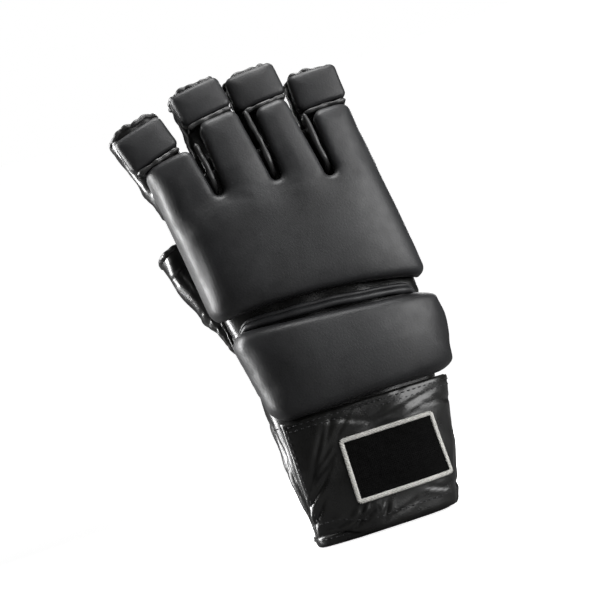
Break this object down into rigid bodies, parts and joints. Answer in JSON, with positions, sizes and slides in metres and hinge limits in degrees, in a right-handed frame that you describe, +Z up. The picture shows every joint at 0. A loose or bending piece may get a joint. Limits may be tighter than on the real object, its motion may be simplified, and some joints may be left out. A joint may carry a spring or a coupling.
{
  "type": "mma glove",
  "caption": "Right-hand open-fingered grappling glove in black leather, with a lobed padded back, padded wrist and a wrap-round strap.",
  "frame": {"origin": "centre of the cuff's mouth, in the plane of its hem", "axes": "+Z up the cuff towards the fingers, +X towards the little finger, -Y out of the back of the hand, +Y out of the palm"},
  "size_m": [0.1346, 0.0649, 0.2376],
  "materials": {
    "satin_leather": "smooth satin moulded leather",
    "glossy_leather": "glossy wrinkled leather",
    "lining_fabric": "matt brushed",
    "foam": "matt foam",
    "fastener_pile": "brushed hook-and-loop pile",
    "patch_fabric": "matt woven",
    "border_thread": "off-white overlocked thread"
  },
  "bodies": {
    "cuff": {"cuff_shell": "glossy_leather", "cuff_lining": "lining_fabric", "cuff_gusset": "lining_fabric", "hem_binding": "glossy_leather", "wrist_pad_foam": "foam", "wrist_pad_cover": "satin_leather", "wrist_piping": "satin_leather", "strap_wrap": "glossy_leather", "loop_fastener": "fastener_pile"},
    "strap": {"strap_flap": "glossy_leather", "hook_fastener": "fastener_pile", "label_patch": "patch_fabric", "label_border": "border_thread"},
    "hand": {"dorsal_panel": "glossy_leather", "palm_panel": "glossy_leather", "hand_lining": "lining_fabric", "hand_pad_foam": "foam", "hand_pad_cover": "satin_leather", "knuckle_welts": "satin_leather", "knuckle_piping": "satin_leather", "grip_patch": "glossy_leather", "grip_bar_foam": "foam", "grip_bar_cover": "glossy_leather", "thumb_panel": "glossy_leather", "thumb_binding": "glossy_leather", "thumb_tab": "glossy_leather", "thenar_welt": "glossy_leather"},
    "index": {"index_sleeve": "glossy_leather", "index_lining": "lining_fabric", "index_rim": "glossy_leather", "index_pad_foam": "foam", "index_pad_cover": "satin_leather"},
    "middle": {"middle_sleeve": "glossy_leather", "middle_lining": "lining_fabric", "middle_rim": "glossy_leather", "middle_pad_foam": "foam", "middle_pad_cover": "satin_leather"},
    "ring": {"ring_sleeve": "glossy_leather", "ring_lining": "lining_fabric", "ring_rim": "glossy_leather", "ring_pad_foam": "foam", "ring_pad_cover": "satin_leather"},
    "little": {"little_sleeve": "glossy_leather", "little_lining": "lining_fabric", "little_rim": "glossy_leather", "little_pad_foam": "foam", "little_pad_cover": "satin_leather"}
  },
  "joints": [
    {"name": "wrist_flex", "type": "hinge", "parent": "cuff", "child": "hand", "pos_m": [0.0035, -0.018, 0.11], "axis": [-0.9976, 0, 0.0698], "range_deg": [-10, 35]},
    {"name": "strap_open", "type": "hinge", "parent": "cuff", "child": "strap", "pos_m": [0.0343, -0.024, 0.03], "axis": [0, 0, 1], "range_deg": [0, 120]},
    {"name": "index_curl", "type": "hinge", "parent": "hand", "child": "index", "pos_m": [-0.05325, -0.006, 0.20145], "axis": [-0.9542, 0, -0.299], "range_deg": [0, 50]},
    {"name": "middle_curl", "type": "hinge", "parent": "hand", "child": "middle", "pos_m": [-0.02324, -0.006, 0.21493], "axis": [-0.9836, 0, -0.1805], "range_deg": [0, 50]},
    {"name": "ring_curl", "type": "hinge", "parent": "hand", "child": "ring", "pos_m": [0.00412, -0.006, 0.21395], "axis": [-0.9938, 0, -0.1115], "range_deg": [0, 50]},
    {"name": "little_curl", "type": "hinge", "parent": "hand", "child": "little", "pos_m": [0.03257, -0.006, 0.20453], "axis": [-0.9991, 0, -0.0419], "range_deg": [0, 50]}
  ]
}
